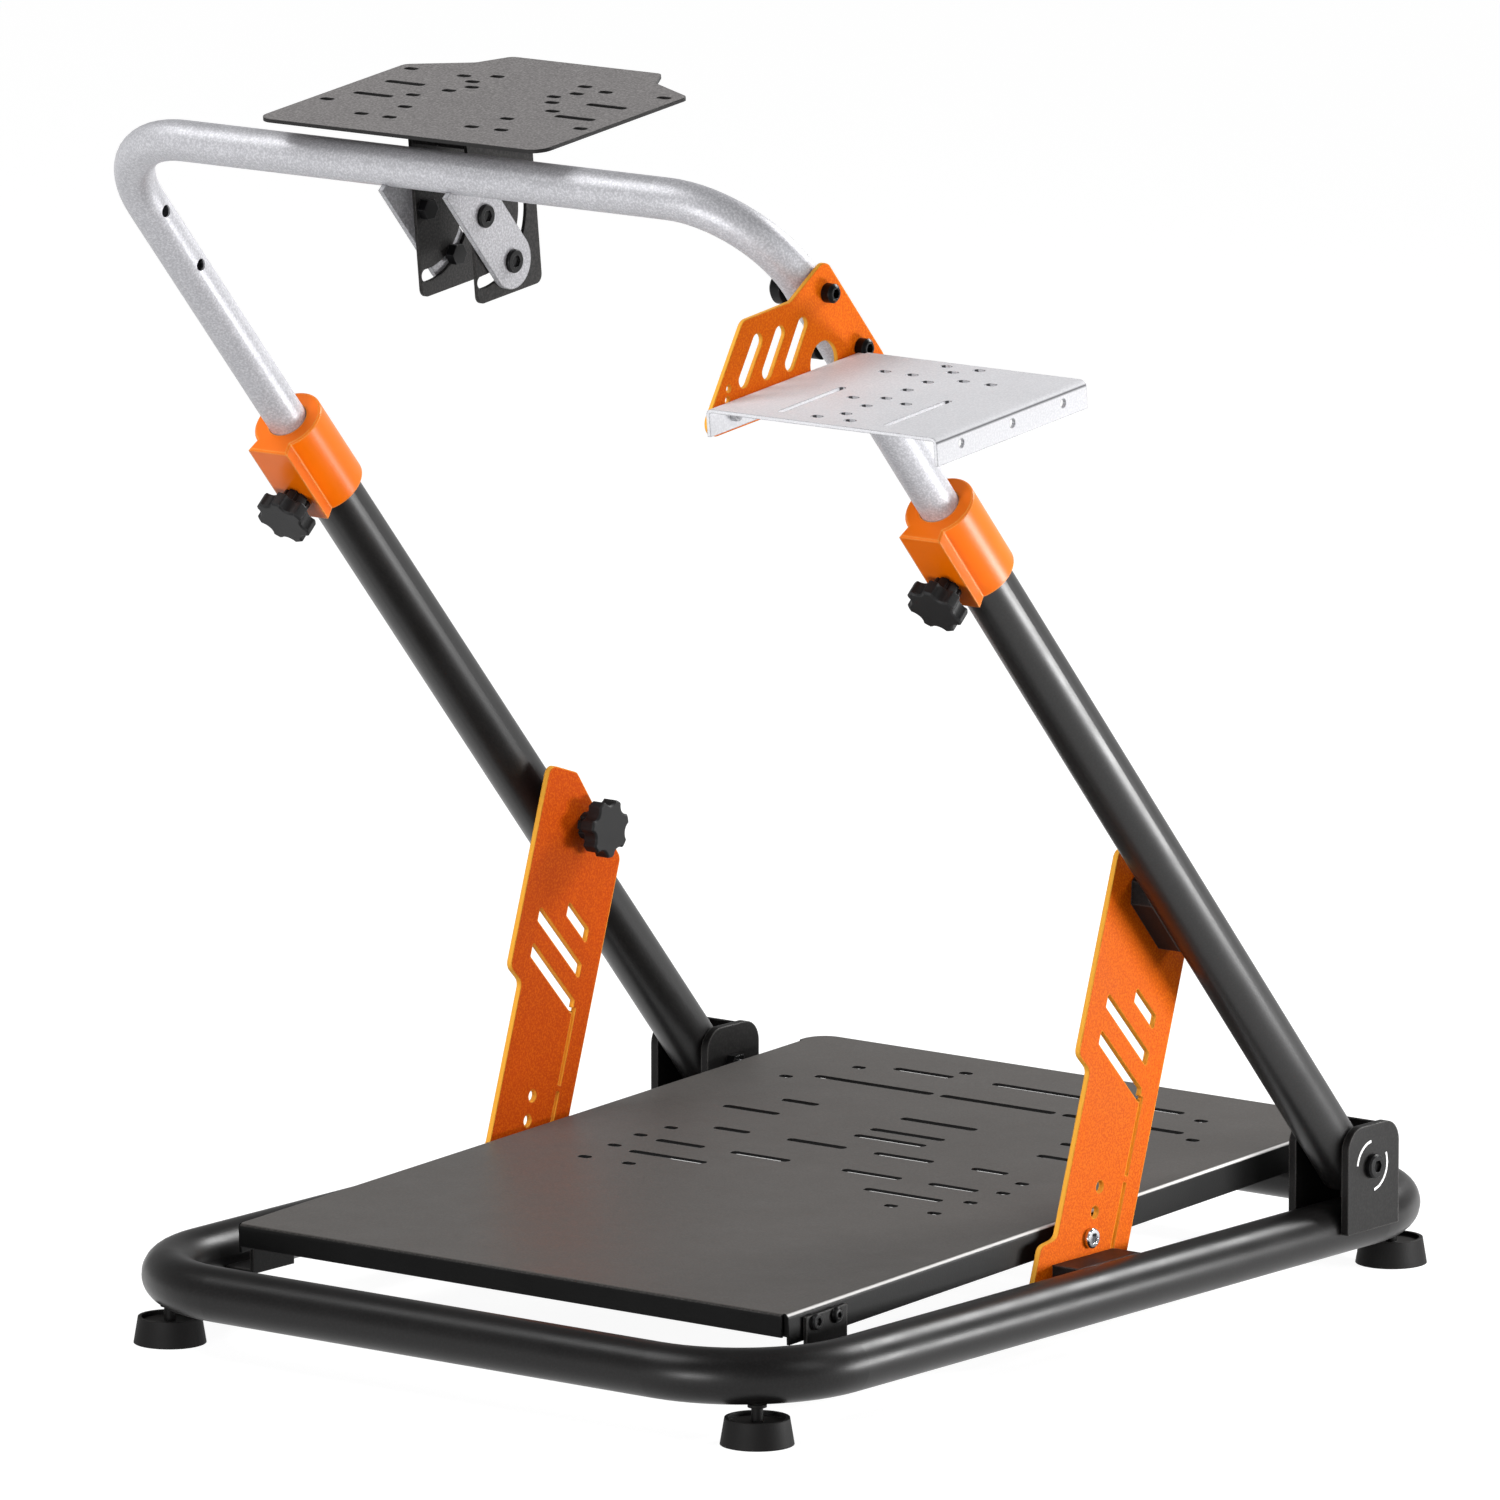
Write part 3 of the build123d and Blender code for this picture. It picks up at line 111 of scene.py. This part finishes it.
class Tree:
    """Adds nodes to a new material's tree, each with its sockets set."""

    def __init__(self, name):
        self.material = bpy.data.materials.new(name)
        self.material.use_nodes = True
        self.nodes = self.material.node_tree.nodes
        self.links = self.material.node_tree.links
        self.nodes.clear()
        self.out = self.nodes.new("ShaderNodeOutputMaterial")

    def add(self, kind, **inputs):
        node = self.nodes.new("ShaderNode" + kind)
        for key, value in inputs.items():
            self.put(node, key.replace("_", " "), value)
        return node

    def put(self, node, key, value):
        """Links a socket, or sets a plain value, to an input named or numbered by key."""
        socket = node.inputs[key]
        if isinstance(value, bpy.types.NodeSocket):
            self.links.new(value, socket)
        else:
            socket.default_value = value

    def math(self, operation, first, second=0.0, clamp=False):
        node = self.nodes.new("ShaderNodeMath")
        node.operation = operation
        node.use_clamp = clamp
        self.put(node, 0, first)
        self.put(node, 1, second)
        return node.outputs[0]

    def noise(self, place, scale, detail, rough):
        node = self.add("TexNoise", Vector=place, Scale=scale, Detail=detail, Roughness=rough)
        return node.outputs["Fac"]

    def span(self, value, low, high, to_low=0.0, to_high=1.0):
        node = self.nodes.new("ShaderNodeMapRange")
        for key, number in enumerate((value, low, high, to_low, to_high)):
            self.put(node, key, number)
        return node.outputs[0]

    def mix(self, factor, first, second):
        """Blends two colours, by the numbers of the Mix node's colour sockets."""
        node = self.nodes.new("ShaderNodeMix")
        node.data_type = "RGBA"
        for key, value in ((0, factor), (6, first), (7, second)):
            self.put(node, key, value)
        return node.outputs[2]

    def normal(self):
        return self.add("NewGeometry").outputs["Normal"]


def lit_and_worn_edges(tree, base, relief, broad, shade, most, radius):
    """The base with its rounded-looking outer edges turned to a shade, unevenly: a painted
    highlight where the shade is lighter and painted shade where it is darker, broken up as wear.
    """
    bevel = tree.add("Bevel", Radius=radius)
    bevel.samples = EDGE_SAMPLES
    tree.put(relief, "Normal", bevel.outputs[0])
    dot = tree.add("VectorMath")
    dot.operation = "DOT_PRODUCT"
    tree.put(dot, 0, bevel.outputs[0])
    tree.put(dot, 1, tree.normal())
    rim = tree.span(dot.outputs["Value"], *EDGE_SPAN, 0.0, most)
    edge_light_and_wear = tree.math("MULTIPLY", rim, tree.span(broad, *WEAR_SPAN, WEAR_LEAST, 1.0))
    return tree.mix(edge_light_and_wear, base, shade)


def paint_hole_shade(tree, base, facing, shade):
    """The base with painted shade on upright faces that aren't square to the sheet's sides:
    the walls of its holes.
    """
    inside = tree.span(tree.math("ABSOLUTE", facing["Z"]), *HOLE_SPAN)
    for axis, square in HOLE_LIMITS:
        across = tree.math("ABSOLUTE", facing[axis])
        inside = tree.math("MULTIPLY", inside, tree.span(across, square, square - HOLE_FADE))
    return tree.mix(inside, base, shade)


def paint_bend_line(tree, base, facing, low, high, shade):
    """The base with a painted highlight or painted shade, by the shade given, where a fold along
    Y slopes between two heights of its normal.
    """
    rise = tree.math("MULTIPLY", tree.span(facing["Z"], low, low + BEND_FADE),
                     tree.span(facing["Z"], high, high - BEND_FADE))
    sideways = tree.span(tree.math("ABSOLUTE", facing["X"]), *BEND_SIDE_SPAN)
    return tree.mix(tree.math("MULTIPLY", rise, sideways), base, shade)


def finish(name, tint, rough, grain, bump, mottle=0.06, speckle=None, edge=None, painted_wall=None,
           painted_hole_shade=None, lighter_top=0.0, painted_bend=None, metal=0.0, specular=0.5):
    """A painted, moulded or plated surface.

    Grain and bump make its fine relief, and mottle its uneven tint. The rest are marks that a
    finish may have: speckle (shade, most); on outer edges (shade, most, radius) a painted
    highlight where the shade is lighter and painted shade where it is darker, broken up as
    wear; on faces that turn away from an axis (shade, the axis that a cut face turns away from)
    the same painted highlight or painted shade; painted shade on hole walls (its shade); a
    lighter top (how much), which on the pedal plate is painted sheen; and along folds (low,
    high, shade) a painted highlight or painted shade.
    """
    tree = Tree(name)
    place = tree.add("TexCoord").outputs["Object"]
    fine = tree.noise(place, grain, FINE_DETAIL, FINE_ROUGHNESS)
    broad = tree.noise(place, BROAD_SCALE, BROAD_DETAIL, BROAD_ROUGHNESS)
    base = tree.mix(tree.span(broad, *MOTTLE_SPAN), scaled(tint, 1.0 - mottle),
                    scaled(tint, 1.0 + mottle))
    if speckle:
        shade, most = speckle
        base = tree.mix(tree.span(fine, *SPECKLE_SPAN, 0.0, most), base, shade)
    relief = tree.add("Bump", Strength=bump, Distance=RELIEF_DEPTH, Height=fine)
    # Painted highlight or painted shade on the outer edges, broken up as wear.
    if edge:
        base = lit_and_worn_edges(tree, base, relief, broad, *edge)
    facing = tree.add("SeparateXYZ", Vector=tree.normal()).outputs
    # Painted highlight or painted shade on faces that turn away from the axis.
    if painted_wall:
        shade, axis = painted_wall
        base = tree.mix(tree.span(tree.math("ABSOLUTE", facing[axis]), *WALL_SPAN), base, shade)
    # Painted shade on the walls of holes.
    if painted_hole_shade:
        base = paint_hole_shade(tree, base, facing, painted_hole_shade)
    # Lighter on faces that look up: on the pedal plate this is painted sheen.
    if lighter_top:
        base = tree.mix(tree.span(facing["Z"], *TOP_TINT_SPAN, 0.0, lighter_top), base, TOP_TINT)
    # Painted highlight or painted shade along folds.
    if painted_bend:
        base = paint_bend_line(tree, base, facing, *painted_bend)
    gloss = tree.span(broad, *GLOSS_SPAN, rough - GLOSS_SWING, rough + GLOSS_SWING)
    shader = tree.add("BsdfPrincipled", Base_Color=base, Roughness=gloss,
                      Normal=relief.outputs[0], Metallic=metal, Specular_IOR_Level=specular)
    tree.links.new(shader.outputs[0], tree.out.inputs[0])
    return tree.material


def cut_plate_paint(name, tint, flecks):
    """The orange paint of a plate that stands across X, with a painted yellow highlight along its
    cut edges and outer rims.
    """
    return finish(name, tint, rough=0.5, grain=650.0, bump=0.12, mottle=0.05,
                  speckle=(flecks, 0.75), edge=(colour(255, 184, 60), 0.9, 0.0018),
                  painted_wall=(colour(255, 182, 66), "X"), specular=0.06)


# Black paints, from the uprights and the base loop to the small folded brackets. The
# brackets' pale edges are a painted highlight, broken up as wear.
BLACK = finish("black_paint", colour(15, 14, 14), rough=0.36, grain=650.0, bump=0.035,
               speckle=(colour(30, 29, 29), 0.5), specular=0.42)
TUBE = finish("base_paint", colour(16, 15, 15), rough=0.36, grain=650.0, bump=0.04,
              speckle=(colour(30, 29, 29), 0.5), specular=0.26)
BRACKET = finish("bracket_paint", colour(16, 15, 15), rough=0.45, grain=650.0, bump=0.14,
                 speckle=(colour(36, 35, 34), 0.5),
                 edge=(colour(130, 128, 126), 0.5, 0.0018), specular=0.16)

# Textured grey coats of the pedal plate, the wheel plate and its bracket. On the pedal plate
# the dark edges, flanges, lip and slot walls are painted shade, its lighter top painted sheen
# and the pale line along its folds a painted highlight. The wheel plate's dark edges and
# upright faces are painted shade, and the bracket's pale edges a painted highlight.
DECK = finish("deck_coat", colour(32, 30, 29), rough=0.44, grain=620.0, bump=0.16,
              speckle=(colour(66, 63, 61), 0.7), edge=(colour(16, 15, 15), 0.6, EDGE_RADIUS),
              painted_wall=(colour(8, 8, 8), "Z"), lighter_top=0.27, painted_bend=(0.3, 0.95, colour(214, 212, 210)),
              specular=0.16)
WHEEL = finish("wheel_coat", colour(116, 113, 113), rough=0.6, grain=620.0, bump=0.18,
               speckle=(colour(158, 155, 154), 0.8), edge=(colour(22, 21, 21), 0.8, 0.0016),
               painted_wall=(colour(26, 25, 25), "Z"), specular=0.25)
TILT = finish("tilt_coat", colour(28, 27, 27), rough=0.5, grain=620.0, bump=0.16,
              speckle=(colour(60, 58, 57), 0.7), edge=(colour(84, 82, 81), 0.4, EDGE_RADIUS),
              specular=0.16)

# Silver coats of the arch, its arms and the shelf. The shelf's coat is a lighter copy of the
# silver, painted light. The arms' and the shelf's dark edges, the shelf's hole walls and the
# dark line along its folds are painted shade.
SILVER = finish("silver_coat", colour(178, 178, 183), rough=0.46, grain=700.0, bump=0.16,
                mottle=0.03, speckle=(colour(216, 216, 220), 0.8), metal=0.25)
ARM = finish("arm_coat", colour(160, 160, 164), rough=0.5, grain=650.0, bump=0.18, mottle=0.04,
             speckle=(colour(204, 204, 208), 0.8), edge=(colour(70, 70, 72), 0.7, 0.0014),
             metal=0.1, specular=0.3)
SHELF = finish("shelf_coat", colour(224, 224, 228), rough=0.5, grain=700.0, bump=0.12, mottle=0.02,
               speckle=(colour(243, 243, 246), 0.7), edge=(colour(104, 104, 108), 0.75, 0.0013),
               painted_hole_shade=colour(84, 84, 88), painted_bend=(0.02, 0.5, colour(112, 112, 116)),
               metal=0.05, specular=0.3)

# Oranges. The left strut's is the deepest, a darker copy that is painted shade, and the
# shifter bracket's the brightest, a lighter copy that is painted light. The plates' yellow cut
# edges and rims and the collars' pale yellow edges are a painted highlight.
ORANGE = cut_plate_paint("orange_paint", colour(198, 80, 0), colour(228, 114, 8))
SHADED_ORANGE = cut_plate_paint("left_strut_painted_shade", colour(181, 64, 0), colour(209, 94, 5))
LIT_ORANGE = cut_plate_paint("carrier_painted_light", colour(228, 95, 0), colour(250, 132, 12))
COLLAR = finish("orange_collar", colour(250, 116, 0), rough=0.32, grain=800.0, bump=0.02,
                mottle=0.04, edge=(colour(255, 206, 110), 0.9, 0.002), specular=0.24)

# Knobs, feet, bolts and the printed ring. The knobs', feet's and bolts' pale edges are a
# painted highlight, broken up as wear, and the feet are a little lighter on top.
PLASTIC = finish("black_plastic", colour(20, 20, 21), rough=0.5, grain=900.0, bump=0.22,
                 edge=(colour(80, 80, 81), 0.35, EDGE_RADIUS), specular=0.24)
RUBBER = finish("rubber_foot", colour(15, 14, 14), rough=0.62, grain=700.0, bump=0.25, mottle=0.1,
                edge=(colour(75, 74, 73), 0.3, EDGE_RADIUS), lighter_top=0.05, specular=0.18)
STEEL = finish("black_steel", colour(9, 9, 10), rough=0.36, grain=1300.0, bump=0.08,
               edge=(colour(84, 84, 86), 0.5, 0.0009), specular=0.16)
CHROME = finish("chrome_bolt", colour(205, 206, 210), rough=0.16, grain=600.0, bump=0.02,
                mottle=0.04, edge=(colour(245, 245, 248), 0.5, 0.0007), metal=1.0)
PRINT = finish("ring_print", colour(222, 222, 222), rough=0.55, grain=900.0, bump=0.08, mottle=0.05,
               speckle=(colour(196, 196, 196), 0.5))

# A node takes the finish of the longest ending that its name has.
LOOKS = {
    "base_frame": TUBE, "upright": BLACK, "upper_lug": BRACKET, "lower_lug": BRACKET,
    "pivot_bracket": BRACKET, "pedal_bracket": BRACKET, "foot": RUBBER,
    "pedal_plate": DECK, "wheel_plate": WHEEL, "tilt_bracket": TILT,
    "wheel_arch": SILVER, "wheel_arm": ARM, "shifter_shelf": SHELF,
    "strut": ORANGE, "left_strut": SHADED_ORANGE, "shifter_bracket": LIT_ORANGE, "collar": COLLAR,
    "knob": PLASTIC, "pedal_bolt": CHROME, "pivot_bolt": STEEL, "pedal_pivot": STEEL,
    "tilt_pivot": STEEL, "tilt_clamp": STEEL, "shifter_bolt": STEEL,
}

for node_name, node in NODES.items():
    ending = max((end for end in LOOKS if node_name.endswith(end)), key=len)
    node.data.materials.clear()
    node.data.materials.append(LOOKS[ending])


# The small pieces, in the model's millimetres. LIFT keeps them just off the faces that they
# stand on.
MM_PER_M = 1000
SIDES = (("left", -1), ("right", 1))
LATHE_STEPS = 36
SHARP_ANGLE = radians(32.0)
LIFT = 0.02
PIVOT_YZ = (264.6, 91.0)
PIVOT_FACE = 305.5 + LIFT
PIVOT_TIP = 247.5
RING_INNER = 16.4
RING_OUTER = 18.3
RING_ARCS = ((95.0, 172.0), (-82.0, 24.0))
RING_THICK = 0.25
RING_LIP = 0.15
RING_STEPS = 40
BRACKET_FACE = 240.9
BRACKET_BOLT_YZ = (-257.3, 68.2)
SHELF_INSIDE = 299.5
SHIFTER_BACK = 294.0
SHELF_BOLTS_YZ = ((-443.15, 710.01), (-388.46, 715.83))

# Turned profiles: radius, height off the face, and round or hexagonal there.
ROUND, HEX = False, True
BUTTON = ((5.6, LIFT, ROUND), (5.7, 0.5, ROUND), (5.5, 1.5, ROUND), (4.9, 2.4, ROUND),
          (4.0, 3.0, ROUND), (3.1, 3.2, ROUND), (2.3, 3.2, HEX), (2.3, 1.4, HEX),
          (1.2, 1.0, ROUND))
NUT = ((4.6, LIFT, ROUND), (5.0, 0.4, HEX), (5.0, 3.4, HEX), (4.5, 3.9, ROUND),
       (2.6, 3.9, ROUND), (2.5, 4.3, ROUND), (2.4, 5.2, ROUND), (1.9, 5.7, ROUND))
TIP = ((5.0, LIFT, ROUND), (5.0, 1.6, ROUND), (4.7, 2.3, ROUND), (4.0, 2.8, ROUND),
       (2.6, 3.1, ROUND))


def point_off(centre, rise, reach, angle):
    """The point, in metres, that is rise along X and reach round it from a centre."""
    offset = Vector((rise, reach * cos(angle), reach * sin(angle)))
    return Vector(centre) / MM_PER_M + offset / MM_PER_M


def turned(centre, side, profile):
    """Loops of a profile turned about X, outwards on the side given."""
    loops = []
    for radius, height, hexagonal in profile:
        loop = []
        for step in range(LATHE_STEPS):
            angle = 2 * pi * step / LATHE_STEPS
            reach = radius
            if hexagonal:
                reach = radius * cos(pi / 6) / cos(angle % (pi / 3) - pi / 6)
            loop.append(point_off(centre, side * height, reach, angle))
        loops.append(loop)
    return loops


def ring_arc(centre, side, start, end):
    """Loops along a raised arc on a face that looks out along X, from +Y towards +Z."""
    shoulder = RING_THICK - RING_LIP
    section = ((RING_INNER, 0.0), (RING_OUTER, 0.0), (RING_OUTER, shoulder),
               (RING_OUTER - RING_LIP, RING_THICK), (RING_INNER + RING_LIP, RING_THICK),
               (RING_INNER, shoulder))
    loops = []
    for step in range(RING_STEPS + 1):
        angle = radians(start + (end - start) * step / RING_STEPS)
        loops.append([point_off(centre, side * rise, reach, angle) for reach, rise in section])
    return loops


def solid(name, body, material, runs):
    """A piece of one or more runs of loops, each capped at both ends, that rides on a body."""
    shape = bmesh.new()
    for loops in runs:
        rows = [[shape.verts.new(point) for point in loop] for loop in loops]
        count = len(rows[0])
        for low, high in zip(rows, rows[1:]):
            for step in range(count):
                after = (step + 1) % count
                shape.faces.new((low[step], low[after], high[after], high[step]))
        shape.faces.new(rows[0][::-1])
        shape.faces.new(rows[-1])
    bmesh.ops.recalc_face_normals(shape, faces=shape.faces[:])
    mesh = bpy.data.meshes.new(name)
    shape.to_mesh(mesh)
    shape.free()
    mesh.shade_smooth()
    mesh.set_sharp_from_angle(angle=SHARP_ANGLE)
    mesh.materials.append(material)
    piece = bpy.data.objects.new(name, mesh)
    SCENE.collection.objects.link(piece)
    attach(piece, body)


for side_name, side in SIDES:
    face = (side * PIVOT_FACE, *PIVOT_YZ)
    solid(f"{side_name}_pivot_ring", "base", PRINT,
          [ring_arc(face, side, start, end) for start, end in RING_ARCS])
    tip = (side * PIVOT_TIP, *PIVOT_YZ)
    solid(f"{side_name}_pivot_tip", "base", CHROME, [turned(tip, -side, TIP)])
    head = (side * BRACKET_FACE, *BRACKET_BOLT_YZ)
    solid(f"{side_name}_bracket_bolt", "base", STEEL,
          [turned(head, side, BUTTON)])
for number, bolt_yz in enumerate(SHELF_BOLTS_YZ, 1):
    solid(f"shelf_nut_{number}", "arch", ARM,
          [turned((SHELF_INSIDE, *bolt_yz), 1, NUT)])
    solid(f"shelf_bolt_{number}", "arch", STEEL,
          [turned((SHIFTER_BACK, *bolt_yz), -1, BUTTON)])


def white_floor():
    """A floor that is seen and mirrored as white and keeps the shadow. Its glow lights nothing."""
    tree = Tree("floor_white")
    ray = tree.add("LightPath").outputs
    shown = tree.math("ADD", ray["Is Camera Ray"], ray["Is Glossy Ray"], True)
    shown = tree.math("ADD", shown, ray["Is Transmission Ray"], True)
    diffuse = tree.add("BsdfDiffuse", Color=FLOOR_DIFFUSE)
    glow = tree.add("Emission", Color=WHITE, Strength=tree.math("MULTIPLY", shown, FLOOR_GLOW))
    both = tree.add("AddShader")
    tree.links.new(diffuse.outputs[0], both.inputs[0])
    tree.links.new(glow.outputs[0], both.inputs[1])
    tree.links.new(both.outputs[0], tree.out.inputs[0])
    tree.material.cycles.emission_sampling = "NONE"

    turns = [2 * pi * step / FLOOR_CORNERS for step in range(FLOOR_CORNERS)]
    rim = [(FLOOR_RADIUS * cos(turn), FLOOR_RADIUS * sin(turn), 0.0) for turn in turns]
    mesh = bpy.data.meshes.new("floor")
    mesh.from_pydata(rim, [], [list(range(FLOOR_CORNERS))])
    mesh.materials.append(tree.material)
    floor = bpy.data.objects.new("floor", mesh)
    SCENE.collection.objects.link(floor)


def soft_sky():
    """A white sky, brightest at the horizon."""
    world = bpy.data.worlds.new("sky")
    SCENE.world = world
    world.use_nodes = True
    nodes = world.node_tree.nodes
    links = world.node_tree.links
    background = nodes["Background"].inputs
    place = nodes.new("ShaderNodeTexCoord")
    height = nodes.new("ShaderNodeSeparateXYZ")
    level = nodes.new("ShaderNodeMapRange")
    for key, number in SKY:
        level.inputs[key].default_value = number
    links.new(place.outputs["Generated"], height.inputs[0])
    links.new(height.outputs["Z"], level.inputs["Value"])
    links.new(level.outputs[0], background["Strength"])
    background["Color"].default_value = WHITE


def lamp(name, azimuth, height, away, wide, tall, watts, aim=STAND_MIDDLE):
    """A soft box at an azimuth round the stand and a distance from it, aimed at a point."""
    light = bpy.data.lights.new(name, "AREA")
    light.shape = "RECTANGLE"
    light.size = wide
    light.size_y = tall
    light.energy = watts
    box = bpy.data.objects.new(name, light)
    box.visible_camera = False
    SCENE.collection.objects.link(box)
    turn = radians(azimuth)
    box.location = (away * sin(turn), -away * cos(turn), height)
    box.rotation_euler = (Vector(aim) - box.location).to_track_quat("-Z", "Y").to_euler()


def photo_camera():
    """The camera at the photograph's place and angle."""
    level = cos(CAM_ELEVATION)
    back = Vector((sin(CAM_AZIMUTH) * level, -cos(CAM_AZIMUTH) * level, sin(CAM_ELEVATION)))
    right = Vector((cos(CAM_AZIMUTH), sin(CAM_AZIMUTH), 0.0))
    up = back.cross(right)
    lens = bpy.data.cameras.new("camera")
    lens.sensor_fit = "HORIZONTAL"
    lens.sensor_width = CAM_SENSOR
    lens.lens = CAM_LENS
    lens.clip_end = CAM_CLIP_END
    camera = bpy.data.objects.new("camera", lens)
    SCENE.collection.objects.link(camera)
    eye = CAM_AIM + back * CAM_DISTANCE + right * CAM_SIDE + up * CAM_RISE
    axes = Matrix((right, up, back)).transposed().to_4x4()
    camera.matrix_world = Matrix.Translation(eye) @ axes
    SCENE.camera = camera


white_floor()
soft_sky()
lamp("key_low", azimuth=117.0, height=0.12, away=1.3, wide=0.5, tall=0.2, watts=14.5,
     aim=(0.2, -0.1, 0.4))
lamp("key_right", azimuth=84.0, height=1.15, away=1.7, wide=0.5, tall=0.9, watts=5.0,
     aim=(0.2, -0.3, 0.7))
lamp("fill_front", azimuth=6.0, height=0.3, away=3.0, wide=1.2, tall=0.5, watts=42.0)
lamp("front_top", azimuth=-40.0, height=2.4, away=1.7, wide=1.4, tall=1.0, watts=30.0)
lamp("back_top", azimuth=163.0, height=1.9, away=2.3, wide=1.2, tall=0.7, watts=74.0)
photo_camera()
